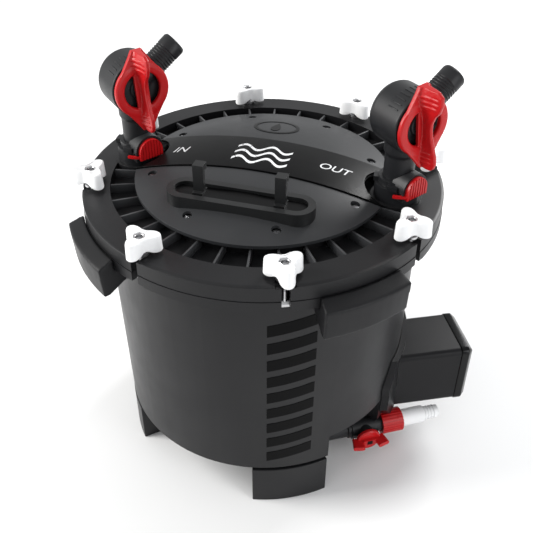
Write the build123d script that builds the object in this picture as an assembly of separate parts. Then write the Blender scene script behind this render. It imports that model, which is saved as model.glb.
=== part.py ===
"""Canister filter: a round tub on feet, a clamped lid with two quick-release hose valves,
a side motor that drives a wet impeller, two media baskets, and a drain valve at the foot."""

import os
from math import cos, radians, sin, sqrt

from build123d import *

# ---- driving dimensions, millimetres; Z is up from the floor ----
AXIS_X = -26.3             # where the tub's own axis stands in the part's frame
AXIS_Y = 0.0
BARREL_TOP_R = 147.5
BARREL_FOOT_R = 144.0
SHOULDER_Z = 262.0         # where the barrel starts to flare out to its flange
SHOULDER_R = 152.0         # the barrel's radius under the flange
SKIRT_BEVEL = (3.0, 4.0)   # inwards and upwards
WALL = 4.0
SKIRT_Z = 47.0             # bottom edge of the barrel's skirt
FLOOR_Z = 50.0             # underside of the tub's floor
FLANGE_R = 166.0
FLANGE_Z = 270.0
SEAM_Z = 280.0             # where the lid meets the flange
LID_R = 165.5
RIM_Z = 295.0              # top of the lid's rim
RIM_IN_R = 140.5
RIM_BEVEL = (3.0, 1.5)
LID_PLATE_Z = (286.0, 290.0)
LID_UNDER_Z = 281.5
HUB_R = (107.0, 111.0)     # the upright ring under the cover's edge
HUB_TOP_Z = 295.4
SPIGOT_R = (137.5, 142.8)  # the lid's spigot that enters the tub
SPIGOT_Z = 268.0
CHANNEL_Z = 285.5          # floor of the ribbed channel
COVER_R = 118.0
COVER_EDGE_Z = 299.0
COVER_TOP_Z = 317.0
COVER_T = 3.0
BAND_T = 2.2
BAND_LIFT = 1.3            # how far the strip stands above the cover
BAND_W = 57.4
BAND_GAP_W = 58.6
RIB_COUNT = 32
RIB_MID_R = 126.0
RIB_SIZE = (32.0, 1.6, 9.0)
PORT_PAD_R = 23.0
PORT_PAD_TOP_Z = 295.95
SCREW_CIRCLE_R = 101.5
POST_R = 4.5
SCREW_WELL_R = 4.2
SCREW_SINK = 0.8
SCREW_HEAD = (3.7, 2.4)    # radius and height
SCREW_SHANK_R = 1.7
SEAL_R = (140.8, 143.1)
SEAL_GROOVE_Z = (272.0, 276.0)
GAP = 0.3                  # space left between pieces that move apart

FASTENERS = 8
BOLT_CIRCLE_R = 156.0
BOLT_FIRST_AZ = 22.5
PIVOT_Z = 271.0            # axis that a swing bolt turns on
SHANK_R = 2.75
SHANK_ABOVE_KNOB_FOOT = 12.5
HEAD_R = 3.7
HEAD_LENGTH = 18.0
HEAD_GROOVE = (4.0, 18.6)  # radius and length
SLOT_W = 7.0
SEAT_SIZE = (12.0, 17.0, 4.0)   # flat cut in the rim under a knob
SEAT_DEPTH = 2.3
WASHER_R = 7.0
WASHER_T = 2.0
KNOB_R = 17.5
KNOB_H = 15.5
KNOB_HUB_R = 10.0
NUT_R = 4.8
NUT_DEPTH = 3.5
KNOB_LOBE_AZ = (30, 77, 7, 100, 81, 22, 45, -4)   # one lobe of each knob points this way
WASHER_Z = RIM_Z + GAP
KNOB_Z = WASHER_Z + WASHER_T + GAP

GRIP_AZ = (45, 135, 225, 315)
GRIP_HALF = 13.2
GRIP_CHEEK = 1.6           # degrees
FOOT_AZ = (-63, 27, 117, 207)
FOOT_HALF = 15.2
FOOT_IN_R = 112.0
FOOT_WALL = 5.0
FOOT_SOLE = 9.0

MOTOR_AZ = 26.0
MOTOR_OFFSET = -56.0       # the motor's axis misses the tub's axis by this much
MOTOR_HALF_W = 30.5
MOTOR_Z = (49.5, 120.0)
MOTOR_BODY_END = 190.0     # measured along the motor's axis from the tub's axis
MOTOR_CAP_END = 203.0
MOTOR_CORNER_R = 6.0
MOTOR_WALL = 3.0
CAP_PROUD = 0.8
CAP_BEVEL = 5.0
CAP_WALL = 4.0
SADDLE_R = 151.5
WELL_R = (13.0, 16.0)      # the rotor's well, inside and outside
WELL_END = 172.0
SHAFT_R = 2.0
RUN_GAP = 0.05             # what turns on the shaft clears it by this much
IMPELLER_R = 23.0
IMPELLER_Z = (102.0, 111.5)    # along the motor's axis
BLADES = 6
BLADE_SIZE = (16.0, 2.0, 8.0)
MAGNET_R = 12.0
MAGNET_Z = (116.3, 165.0)
VOLUTE_R = (26.5, 29.5)
VOLUTE_Z = (94.0, 98.0)
GLAND_AT = 178.0
GLAND_R = (3.6, 6.0, 9.0)  # bore, barrel and flange

DRAIN_AZ = 31.0
DRAIN_POINT = (148.0, -28.0, 33.5)   # middle of the lock nut
DRAIN_R = 8.0
DRAIN_BORE_R = 5.0
RISER_AT = -70.0           # along the drain's axis from the lock nut's middle
PIPE_END = -45.0
TAP_AT = -31.0
TAP_BOSS = (9.0, 16.0)     # radius and height
PLUG_R = 4.0
LOCK_NUT = (12.6, 11.5)    # radius and half length
NUT_GROOVES = 24
SPIGOT_LAND = (9.0, 12.0, 37.0)    # radius, start and end
TIP_R = 6.5
TIP_END = 54.0
TIP_RIDGES = 4
POCKET_AZ = (-47.5, -19.0)
POCKET_R = 97.0
POCKET_Z = 80.0

VALVE_X = 123.5            # each valve stands this far from the tub's axis
VALVE_AZ = -42.0           # the way a valve's handle faces
LATCH_AZ = -36.0           # the way its release button faces
LATCH_Z = 311.0            # where the button's half-round top begins
LATCH_R = 12.0
LATCH_DROP = 6.5
LATCH_WALL = 2.4
DRUM_Z = 372.5
DRUM_R = 26.5
DRUM_BACK = -18.5
DRUM_FRONT = 19.0
BALL_R = 15.0
NECK_R = 13.5
NECK_FOOT_Z = 300.0
NECK_SWELL = (1.6, 337.0, 358.5)   # extra radius, from and to
BORE_R = 8.0
STEM_R = 4.0
NOZZLE_R = 11.0
NOZZLE_RISE = 36.0         # degrees above the horizontal
NOZZLE_LENGTH = 52.0
NOZZLE_SHIFT = 8.0
NOZZLE_CORE_R = 9.8
NOZZLE_LAND = 41.0
RIDGES = 6
RIDGE_START = 25.0
RIDGE_PITCH = 2.7
COLLAR_R = 20.0
COLLAR_STEP_Z = 310.5
COLLAR_TOP_Z = 316.0
LIP_Z = 306.4              # the latch's thin slide round the collar
PORT_CLEAR_R = 28.8        # the cover stops this far from a valve's axis
LATCH_TRAVEL = 3.0
HANDLE_R = 25.5
EAR_R = 37.8
EAR_LEAN = (3.0, 8.0)      # how far each valve's handle is turned at rest
HANDLE_T = 4.5
WINDOW_R = 17.0
SPINE_W = 13.0
FIN_T = 5.0
FIN = (                    # along the bar, and height above the ring's back
    (-33.0, 17.0), (-23.0, 17.5), (-11.0, 14.0), (0.0, 12.5),
    (8.0, 13.0), (15.0, 17.0), (24.0, 24.0), (35.0, 25.0),
)
FIN_ENDS = (13.0, 12.0)

CLIP_PLACE = (0.5, -70.5)
CLIP_RING = (131.0, 33.0)
CLIP_WELL = (118.0, 20.0)
CLIP_TOP_Z = 315.5
CLIP_FLOOR_Z = 311.6
HOOK_X = 36.0
HOOK_W = 9.5

BASKET_R = 136.0
BASKET_Z = (119.0, 193.0)
BASKET_H = 71.0
BASKET_WALL = 3.0
BASKET_SLOTS = 12
FOAM_H = 41.7

COVER_SPHERE_R = (COVER_R**2 + (COVER_TOP_Z - COVER_EDGE_Z) ** 2) / (2 * (COVER_TOP_Z - COVER_EDGE_Z))
MOTOR_MID_Z = sum(MOTOR_Z) / 2


# ---- shared ways of making a shape ----
def turned(*points):
    """A solid turned about the tub's axis from its (radius, height) outline."""
    return revolve(Plane.XZ * make_face(Polyline(*points, close=True)), Axis.Z, 360)


def sector(r_in, r_out, z_low, z_high, az_from, az_to):
    """A block of a ring between two azimuths."""
    outline = Polyline((r_in, z_low), (r_out, z_low), (r_out, z_high), (r_in, z_high), close=True)
    return Rot(0, 0, az_from) * revolve(Plane.XZ * make_face(outline), Axis.Z, az_to - az_from)


ON_FOOT = (Align.CENTER, Align.CENTER, Align.MIN)    # a shape that stands on its own origin


def disc(radius, z_low, z_high, x=0.0, y=0.0):
    return Pos(x, y, z_low) * Cylinder(radius, z_high - z_low, align=ON_FOOT)


def along(plane, radius, start, end):
    """A round bar on a plane's normal, from one distance to another."""
    return plane * Pos(0, 0, start) * Cylinder(radius, end - start, align=ON_FOOT)


def heading(azimuth):
    return Vector(cos(radians(azimuth)), sin(radians(azimuth)), 0)


def cover_dome(radius):
    """The ball that the lid's cover is a cap of, at a given radius."""
    return Pos(0, 0, COVER_TOP_Z - COVER_SPHERE_R) * Sphere(radius)


MOTOR_PLANE = Plane(
    origin=heading(MOTOR_AZ + 90) * MOTOR_OFFSET + Vector(0, 0, MOTOR_MID_Z),
    x_dir=heading(MOTOR_AZ + 90),
    z_dir=heading(MOTOR_AZ),
)
DRAIN_PLANE = Plane(origin=DRAIN_POINT, x_dir=heading(DRAIN_AZ - 90), z_dir=heading(DRAIN_AZ))


def motor_block(half_w, half_h, start, end):
    """A box about the motor's axis."""
    return MOTOR_PLANE * Pos(0, 0, start) * Box(
        2 * half_w, 2 * half_h, end - start, align=ON_FOOT
    )


# ---- the tub and what is fixed to it ----
def canister_shell():
    outside = turned(
        (0, SKIRT_Z), (BARREL_FOOT_R - SKIRT_BEVEL[0], SKIRT_Z), (BARREL_FOOT_R, SKIRT_Z + SKIRT_BEVEL[1]),
        (BARREL_TOP_R, SHOULDER_Z), (SHOULDER_R, FLANGE_Z), (FLANGE_R, FLANGE_Z),
        (FLANGE_R, SEAM_Z - GAP), (0, SEAM_Z - GAP),
    )
    under_floor = turned(
        (0, SKIRT_Z - 1), (BARREL_FOOT_R - WALL, SKIRT_Z - 1), (BARREL_FOOT_R - WALL, FLOOR_Z), (0, FLOOR_Z)
    )
    inside = turned(
        (0, FLOOR_Z + WALL), (BARREL_FOOT_R - WALL, FLOOR_Z + WALL), (BARREL_TOP_R - WALL, SHOULDER_Z),
        (BARREL_TOP_R - WALL, SEAM_Z + 1), (0, SEAM_Z + 1),
    )
    pocket = sector(POCKET_R, 160, SKIRT_Z - 1, POCKET_Z, *POCKET_AZ)
    pocket_wall = sector(POCKET_R - WALL, 160, SKIRT_Z, POCKET_Z + WALL, POCKET_AZ[0] - 2, POCKET_AZ[1] + 2)
    shell = outside - under_floor - (inside - pocket_wall) - pocket
    for index in range(FASTENERS):
        shell -= fastener_place(index) * bolt_slot(FLANGE_Z - 6, SEAM_Z + 1)
        shell -= fastener_place(index) * head_groove()
    shell -= along(MOTOR_PLANE, WELL_R[1] + 0.5, 90, 160)
    return shell - drain_riser(DRAIN_R + 0.05, POCKET_Z - 1, POCKET_Z + WALL + 1)


def bolt_slot(z_low, z_high):
    """The open-ended slot that a swing bolt stands in, in the fastener's own place."""
    slot = Pos(0, 0, z_low) * Box(14, SLOT_W, z_high - z_low, align=(Align.MIN, Align.CENTER, Align.MIN))
    return slot + disc(SLOT_W / 2, z_low, z_high)


def head_groove():
    """Where the T-head lies under the flange: round above, open below and outwards."""
    tunnel = Pos(0, 0, PIVOT_Z) * Rot(90, 0, 0) * Cylinder(*HEAD_GROOVE)
    mouth = Box(20, HEAD_GROOVE[1], 12, align=(Align.MIN, Align.CENTER, Align.MAX))
    return tunnel + Pos(-HEAD_GROOVE[0], 0, PIVOT_Z) * mouth


def base_feet():
    """Four curved feet under the skirt, flush with the barrel."""
    feet = []
    for azimuth in FOOT_AZ:
        start, end = azimuth - FOOT_HALF, azimuth + FOOT_HALF
        block = sector(FOOT_IN_R, BARREL_FOOT_R + 0.5, 0, SKIRT_Z - 0.05, start, end)
        inner, outer = FOOT_IN_R + FOOT_WALL, BARREL_FOOT_R - FOOT_WALL
        hollow = sector(inner, outer, FOOT_SOLE, SKIRT_Z + 1, start + 2.5, end - 2.5)
        feet.append(block - hollow)
    return Compound(feet)


def lift_grips():
    """Four grips under the flange, each a hooked shelf open below for the fingers."""
    rest = BARREL_TOP_R + 5
    outline = Polyline(
        (rest, FLANGE_Z - GAP), (rest, 265), (173.5, 265), (173.5, 246), (179, 246), (181, 275),
        (FLANGE_R + GAP, 281.5), (FLANGE_R + GAP, FLANGE_Z - GAP), close=True,
    )
    cheek = Polyline(
        (rest, FLANGE_Z - GAP), (rest, 256), (173, 246), (179, 246), (180, FLANGE_Z - GAP), close=True
    )
    grips = []
    for azimuth in GRIP_AZ:
        shelf = Rot(0, 0, azimuth - GRIP_HALF) * revolve(Plane.XZ * make_face(outline), Axis.Z, 2 * GRIP_HALF)
        for side in (azimuth - GRIP_HALF, azimuth + GRIP_HALF - GRIP_CHEEK):
            shelf += Rot(0, 0, side) * revolve(Plane.XZ * make_face(cheek), Axis.Z, GRIP_CHEEK)
        grips.append(shelf)
    return Compound(grips)


def motor_housing():
    """The motor's case: a square sleeve on a saddle that hugs the barrel, with the rotor's blind well."""
    half_h = (MOTOR_Z[1] - MOTOR_Z[0]) / 2
    case = motor_block(MOTOR_HALF_W, half_h, 60, MOTOR_BODY_END)
    case = fillet(case.edges().filter_by(Axis(MOTOR_PLANE.origin, MOTOR_PLANE.z_dir)), MOTOR_CORNER_R)
    case -= motor_block(MOTOR_HALF_W - MOTOR_WALL, half_h - MOTOR_WALL, 150, MOTOR_BODY_END + 1)
    barrel = turned((0, 0), (BARREL_FOOT_R + 0.6, 0), (BARREL_FOOT_R + 0.6, 51), (146.2, 150), (0, 150))
    half_outline = [
        (0, half_h + 3), (36, half_h + 3), (46, 14), (58, 0), (60, 15 - half_h), (45, -half_h), (0, -half_h)
    ]
    half_face = make_face(Polyline(*half_outline, close=True))
    saddle = MOTOR_PLANE * Pos(0, 0, 60) * extrude(half_face + mirror(half_face, Plane.YZ), 100)
    case += saddle & turned((0, 40), (SADDLE_R, 40), (SADDLE_R, 150), (0, 150))
    case -= barrel
    case += along(MOTOR_PLANE, WELL_R[1], 112, WELL_END)
    return case - along(MOTOR_PLANE, WELL_R[0], 100, WELL_END - 4)


def motor_end_cap():
    half_h = (MOTOR_Z[1] - MOTOR_Z[0]) / 2
    cap = motor_block(MOTOR_HALF_W + CAP_PROUD, half_h + CAP_PROUD, MOTOR_BODY_END + GAP, MOTOR_CAP_END)
    cap = fillet(cap.edges().filter_by(Axis(MOTOR_PLANE.origin, MOTOR_PLANE.z_dir)), MOTOR_CORNER_R + 0.5)
    outer_face = cap.faces().sort_by(Axis(MOTOR_PLANE.origin, MOTOR_PLANE.z_dir))[-1]
    cap = chamfer(outer_face.edges(), CAP_BEVEL)
    hollow = motor_block(MOTOR_HALF_W - CAP_WALL, half_h - CAP_WALL, MOTOR_BODY_END, MOTOR_CAP_END - CAP_WALL)
    return cap - hollow


def stator():
    """Laminated core around the rotor's well, with a coil above and below."""
    core = motor_block(26, 20, 154, 184) - along(MOTOR_PLANE, 16.6, 150, 190)
    coils = [MOTOR_PLANE * Pos(0, side * 26, 169) * Cylinder(5.5, 28) for side in (-1, 1)]
    return Compound([core, *coils])


def impeller_shaft():
    return along(MOTOR_PLANE, SHAFT_R, 92, WELL_END - 4)


def impeller():
    """Blades and a hub on the rotor's magnet, running on the fixed shaft."""
    front, back = IMPELLER_Z
    wheel = along(MOTOR_PLANE, IMPELLER_R, back - 2.5, back) + along(MOTOR_PLANE, 7, front, back + 0.5)
    for index in range(BLADES):
        blade = Box(*BLADE_SIZE, align=(Align.MIN, Align.CENTER, Align.MIN))
        wheel += MOTOR_PLANE * Pos(0, 0, front) * Rot(0, 0, 360 / BLADES * index) * Pos(6, 0, 0) * blade
    wheel += along(MOTOR_PLANE, 5, 111, 116)
    return wheel - along(MOTOR_PLANE, SHAFT_R + RUN_GAP, 90, 130)


def rotor_magnet():
    return along(MOTOR_PLANE, MAGNET_R, *MAGNET_Z) - along(MOTOR_PLANE, SHAFT_R + RUN_GAP, 110, 170)


def volute_cover():
    """Cup over the impeller on the tub's inner wall, with the water's way in at its middle."""
    front, back = VOLUTE_Z
    cup = along(MOTOR_PLANE, VOLUTE_R[1], 90, 140) - along(MOTOR_PLANE, VOLUTE_R[0], back, 141)
    cup -= along(MOTOR_PLANE, 10, front, back + 1)
    bridge = MOTOR_PLANE * Pos(0, 0, front) * Box(22, 5, 4, align=ON_FOOT)
    cup = cup - along(MOTOR_PLANE, VOLUTE_R[1] + 0.5, 89, front) + bridge
    cup -= along(MOTOR_PLANE, SHAFT_R, 90, 100)
    cup &= disc(BARREL_FOOT_R - WALL - GAP, FLOOR_Z + WALL + GAP, 130)
    return cup - along(MOTOR_PLANE, WELL_R[1] + 0.4, 111.8, 150)


def cable_gland():
    """Round inlet for the supply cord, under the motor's case near its outer end."""
    spot = (MOTOR_PLANE * Pos(0, 0, GLAND_AT)).position
    top = MOTOR_Z[0] - 0.05
    bore_r, barrel_r, flange_r = GLAND_R
    gland = disc(barrel_r, top - 12, top, spot.X, spot.Y) + disc(flange_r, top - 3, top, spot.X, spot.Y)
    return gland - disc(bore_r, top - 13, top + 1, spot.X, spot.Y)


# ---- the drain at the foot ----
def drain_riser(radius, z_low, z_high):
    foot = DRAIN_PLANE * Pos(0, 0, RISER_AT)
    return disc(radius, z_low, z_high, foot.position.X, foot.position.Y)


def drain_pipe():
    """Elbow from the sump down and out to the valve."""
    pipe = drain_riser(DRAIN_R, DRAIN_POINT[2], POCKET_Z + WALL)
    pipe += along(DRAIN_PLANE, DRAIN_R, RISER_AT, PIPE_END)
    pipe += DRAIN_PLANE * Pos(0, 0, RISER_AT) * Sphere(DRAIN_R)
    pipe += along(DRAIN_PLANE, DRAIN_R + 1.6, PIPE_END - 4, PIPE_END)
    pipe += drain_riser(DRAIN_R + 3, POCKET_Z - 3.05, POCKET_Z - 0.05)
    pipe -= drain_riser(DRAIN_BORE_R, DRAIN_POINT[2], POCKET_Z + WALL + 1)
    return pipe - along(DRAIN_PLANE, DRAIN_BORE_R, RISER_AT, PIPE_END + 5)


def drain_valve_body():
    body = along(DRAIN_PLANE, DRAIN_R + 3, PIPE_END + 0.1, -17) + along(DRAIN_PLANE, DRAIN_R + 0.6, -17, -8)
    boss = Plane(origin=DRAIN_PLANE.origin + DRAIN_PLANE.z_dir * TAP_AT, z_dir=DRAIN_PLANE.x_dir)
    body += along(boss, TAP_BOSS[0], 0, TAP_BOSS[1])
    return body - along(DRAIN_PLANE, DRAIN_BORE_R, -46, -7) - along(boss, PLUG_R + 0.05, -6, TAP_BOSS[1] + 1)


def drain_handle():
    """Butterfly tap: a hub with two wings, on the plug that shuts the bore."""
    hub = DRAIN_PLANE.origin + DRAIN_PLANE.z_dir * TAP_AT
    tap = Plane(origin=hub, x_dir=DRAIN_PLANE.z_dir, z_dir=DRAIN_PLANE.x_dir)
    foot = TAP_BOSS[1] + GAP
    handle = along(tap, TAP_BOSS[0], foot, foot + 3.2) + along(tap, PLUG_R, -4, 17)
    for side in (-1, 1):
        wing = Box(12, 5, 12, align=ON_FOOT)
        wing = fillet(wing.edges().filter_by(Axis.Z), 2)
        handle += tap * Pos(side * 11, 0, 17) * Rot(0, side * 12, 0) * wing
    handle += tap * Pos(0, 0, foot) * Box(14, 6, 7, align=ON_FOOT)
    return handle - DRAIN_PLANE * Pos(0, 0, TAP_AT) * Cylinder(3, 30)


def drain_lock_nut():
    radius, half = LOCK_NUT
    nut = along(DRAIN_PLANE, radius, -half, half)
    for index in range(NUT_GROOVES):
        groove = Box(1.2, 1.6, 2 * half + 1)
        nut -= DRAIN_PLANE * Rot(0, 0, 360 / NUT_GROOVES * index) * Pos(radius + 0.1, 0, 0) * groove
    return nut - along(DRAIN_PLANE, SPIGOT_LAND[0] + GAP, -12, 12)


def drain_nozzle():
    """Outlet spigot: a plain part under the nut, then a stepped hose tip."""
    land_r, land_start, land_end = SPIGOT_LAND
    nozzle = along(DRAIN_PLANE, DRAIN_R + 0.6, -7.9, land_start)
    nozzle += along(DRAIN_PLANE, land_r, land_start, land_end)
    nozzle += along(DRAIN_PLANE, TIP_R, land_end, TIP_END)
    for index in range(TIP_RIDGES):
        start = land_end + 2 + 3.2 * index
        nozzle += along(DRAIN_PLANE, TIP_R + 0.7, start, start + 1.4)
    return nozzle - along(DRAIN_PLANE, DRAIN_BORE_R, -9, TIP_END + 1)


# ---- the lid ----
def fastener_place(index):
    """Where a fastener stands: its bolt's foot on the circle, +X outwards."""
    return Rot(0, 0, BOLT_FIRST_AZ + 360 / FASTENERS * index) * Pos(BOLT_CIRCLE_R, 0, 0)


def screw_place(index):
    """Where a cover screw stands on its circle."""
    return Rot(0, 0, BOLT_FIRST_AZ + 360 / FASTENERS * index) * Pos(SCREW_CIRCLE_R, 0, 0)


def lid_shell():
    plate_low, plate_high = LID_PLATE_Z
    groove_low, groove_high = SEAL_GROOVE_Z
    hub_in, hub_out = HUB_R
    lid = turned(
        (0, plate_high), (hub_out, plate_high), (hub_out, CHANNEL_Z), (RIM_IN_R, CHANNEL_Z),
        (RIM_IN_R, RIM_Z),
        (LID_R - RIM_BEVEL[0], RIM_Z), (LID_R, RIM_Z - RIM_BEVEL[1]), (LID_R, SEAM_Z), (143, SEAM_Z),
        (143, groove_high), (SEAL_R[0] - GAP, groove_high), (SEAL_R[0] - GAP, groove_low),
        (SPIGOT_R[1], groove_low),
        (SPIGOT_R[1], SPIGOT_Z), (SPIGOT_R[0], SPIGOT_Z), (SPIGOT_R[0], LID_UNDER_Z), (hub_in, LID_UNDER_Z),
        (hub_in, plate_low), (0, plate_low),
    )
    hub_foot = plate_low - 1
    lid += turned((hub_in, hub_foot), (hub_out, hub_foot), (hub_out, HUB_TOP_Z), (hub_in, HUB_TOP_Z))
    for index in range(RIB_COUNT):
        rib = Box(*RIB_SIZE, align=ON_FOOT)
        lid += Rot(0, 0, 360 / RIB_COUNT * index) * Pos(RIB_MID_R, 0, CHANNEL_Z - 1) * rib
    for x in (-VALVE_X, VALVE_X):
        lid += disc(PORT_PAD_R, CHANNEL_Z - 1, PORT_PAD_TOP_Z, x)
        lid -= disc(NECK_R - 1.5, 260, 320, x)
    for index in range(FASTENERS):
        lid += screw_place(index) * disc(POST_R, 289, 299)
        lid -= screw_place(index) * disc(SCREW_SHANK_R + 0.1, 289, 309)
        lid -= fastener_place(index) * bolt_slot(SEAM_Z - 1, RIM_Z + 1)
        seat = Box(*SEAT_SIZE, align=(Align.MIN, Align.CENTER, Align.MIN))
        lid -= fastener_place(index) * Pos(0, 0, RIM_Z - SEAT_DEPTH) * seat
    return lid


def cover_skin(outer_radius, thickness, top_offset):
    """A cap of the cover's dome: its edge radius, its thickness and how far it stands off the dome."""
    cap = cover_dome(COVER_SPHERE_R + top_offset) - cover_dome(COVER_SPHERE_R + top_offset - thickness)
    return cap & disc(outer_radius, COVER_EDGE_Z - 6, COVER_TOP_Z + 10)


def lid_cover():
    cover = cover_skin(COVER_R, COVER_T, 0.0)
    recess = cover_dome(COVER_SPHERE_R + 5) - cover_dome(COVER_SPHERE_R - 1.2)
    cover -= Pos(0, 0, COVER_TOP_Z) * Box(300, BAND_GAP_W, 60) & recess
    for x in (-VALVE_X, VALVE_X):
        cover -= disc(PORT_CLEAR_R, 280, 330, x)
    for index in range(FASTENERS):
        cover -= screw_place(index) * disc(SCREW_WELL_R, 290, 320)
    return cover


def cover_band():
    """Glossy strip across the cover from port to port, let into its top."""
    band = cover_skin(COVER_R, BAND_T, BAND_LIFT) & Pos(0, 0, COVER_TOP_Z) * Box(300, BAND_W, 60)
    for x in (-VALVE_X, VALVE_X):
        band -= disc(PORT_CLEAR_R, 280, 330, x)
    return band


def cover_screws():
    """Eight sunk screws that hold the cover to its posts."""
    screws = []
    top = COVER_TOP_Z - COVER_SPHERE_R + sqrt(COVER_SPHERE_R**2 - SCREW_CIRCLE_R**2) - SCREW_SINK
    for index in range(FASTENERS):
        screw = disc(SCREW_HEAD[0], top - SCREW_HEAD[1], top) + disc(SCREW_SHANK_R, 291, top)
        screw -= Pos(0, 0, top) * Box(4.6, 1.0, 2) + Pos(0, 0, top) * Box(1.0, 4.6, 2)
        screws.append(screw_place(index) * screw)
    return Compound(screws)


def lid_seal():
    """The ring seal in the lid's groove."""
    low, high = SEAL_GROOVE_Z[0] + GAP, SEAL_GROOVE_Z[1] - GAP
    return turned((SEAL_R[0], low), (SEAL_R[1], low), (SEAL_R[1], high), (SEAL_R[0], high))


def hose_clips():
    """Racetrack collar on the cover with two upright hooks for the hoses."""
    ground = cover_dome(COVER_SPHERE_R + 0.05)
    wall = SlotOverall(*CLIP_RING) - SlotOverall(*CLIP_WELL)
    well = SlotOverall(CLIP_WELL[0] + 0.2, CLIP_WELL[1] + 0.2)
    spot = Pos(*CLIP_PLACE, 300)
    clips = spot * extrude(wall, CLIP_TOP_Z - 300) + spot * extrude(well, CLIP_FLOOR_Z - 300) - ground
    for x in (-HOOK_X, HOOK_X):
        post = Pos(x, -70, 305) * Box(HOOK_W, 4.5, 34, align=ON_FOOT)
        head = Pos(x, -67.5, 333) * Box(HOOK_W, 9.5, 6, align=ON_FOOT)
        foot = Pos(x, -70, 305) * Box(HOOK_W, 12, 9.5, align=ON_FOOT)
        clips += (post + head + foot) - ground
    return clips


# ---- the two hose valves ----
def latch_plane(x):
    return Plane(origin=(x, 0, LATCH_Z), x_dir=heading(LATCH_AZ + 90), z_dir=heading(LATCH_AZ))


def arch(plane, radius, drop, start, end):
    """A D-shaped bar: half round above and square below, along a plane's normal."""
    bar = along(plane, radius, start, end)
    upper = Box(3 * radius, 4 * radius, 200, align=(Align.CENTER, Align.MIN, Align.CENTER))
    square = Box(2 * radius, drop, end - start, align=(Align.CENTER, Align.MAX, Align.MIN))
    return (bar & plane * Pos(0, 0, start) * upper) + plane * Pos(0, 0, start) * square


def valve_collar(x):
    """Socket screwed to the lid's port, with lugs and the latch's half-round housing."""
    collar = disc(COLLAR_R, RIM_Z + 1, COLLAR_STEP_Z, x) + disc(17, 303, COLLAR_TOP_Z, x)
    for index in range(4):
        lug = Box(12, 9, 4.5, align=ON_FOOT)
        collar += Pos(x, 0, COLLAR_STEP_Z - 0.5) * Rot(0, 0, LATCH_AZ + 60 + 80 * index) * Pos(15, 0, 0) * lug
    collar += arch(latch_plane(x), LATCH_R + LATCH_WALL, LATCH_DROP + LATCH_WALL, 6, 20.5)
    collar -= arch(latch_plane(x), LATCH_R + GAP, LATCH_DROP + GAP, 16, 30)
    collar -= Pos(x, 0, 0) * sector(COLLAR_R + 0.05, 30, LIP_Z - 0.4, LIP_Z + 2.7, LATCH_AZ - 70, LATCH_AZ)
    collar -= disc(NECK_R + GAP, 280, 330, x)
    collar += disc(NECK_R + 1, RIM_Z + 1, 299.7, x) - disc(NECK_R - 1.5, 290, 300, x)
    return collar


def latch_button(x):
    """Sprung release button in the collar's housing, with the slide that grips the valve's neck."""
    button = arch(latch_plane(x), LATCH_R, LATCH_DROP, 20.3, 24)
    for index in range(7):
        groove = Box(1.1, 40, 1.6)
        button -= latch_plane(x) * Pos(3 * index - 9, 4, 24) * groove
    lip = sector(COLLAR_R + 0.4, COLLAR_R + 3.0, LIP_Z, LIP_Z + 2.3, LATCH_AZ - 62, LATCH_AZ - 24)
    return button + Pos(heading(LATCH_AZ) * (LATCH_TRAVEL + GAP) + Vector(x, 0, 0)) * lip


def valve_plane(x):
    """Origin where the drum's axis crosses the neck's, x across, y up, z out of the handle."""
    return Plane(origin=(x, 0, DRUM_Z), x_dir=heading(VALVE_AZ + 90), z_dir=heading(VALVE_AZ))


def nozzle_plane(x):
    place = valve_plane(x)
    way = place.x_dir * cos(radians(NOZZLE_RISE)) + Vector(0, 0, 1) * sin(radians(NOZZLE_RISE))
    return Plane(origin=place.origin + place.z_dir * NOZZLE_SHIFT, x_dir=place.z_dir, z_dir=way)


def valve_body(x):
    """Neck, ball drum and ribbed hose nozzle in one moulding."""
    place = valve_plane(x)
    drum = along(place, DRUM_R, DRUM_BACK, DRUM_FRONT)
    drum = fillet(drum.edges().sort_by(Axis(place.origin, place.z_dir))[0], 7)
    extra, swell_low, swell_high = NECK_SWELL
    neck = disc(NECK_R, NECK_FOOT_Z, DRUM_Z - 10, x) + disc(NECK_R + extra, swell_low, swell_high, x)
    outlet = nozzle_plane(x)
    nozzle = along(outlet, NOZZLE_CORE_R, 0, NOZZLE_LENGTH)
    for index in range(RIDGES):
        ridge = Cone(NOZZLE_R, NOZZLE_CORE_R, 2.2, align=ON_FOOT)
        nozzle += outlet * Pos(0, 0, RIDGE_START + RIDGE_PITCH * index) * ridge
    nozzle += along(outlet, NOZZLE_R, NOZZLE_LAND, NOZZLE_LENGTH)
    body = drum + neck + nozzle
    body -= place * Sphere(BALL_R + GAP)
    body -= disc(BORE_R, 290, DRUM_Z, x) + along(outlet, BORE_R, 0, NOZZLE_LENGTH + 1)
    return body - along(place, STEM_R + GAP, 0, DRUM_FRONT + 1)


def valve_ball(x):
    """Ball with an elbow bore from the neck to the nozzle."""
    ball = valve_plane(x) * Sphere(BALL_R)
    way_out = Plane(origin=valve_plane(x).origin, z_dir=nozzle_plane(x).z_dir)
    return ball - disc(6, DRUM_Z - 20, DRUM_Z, x) - along(way_out, 6, 0, 20)


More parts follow.
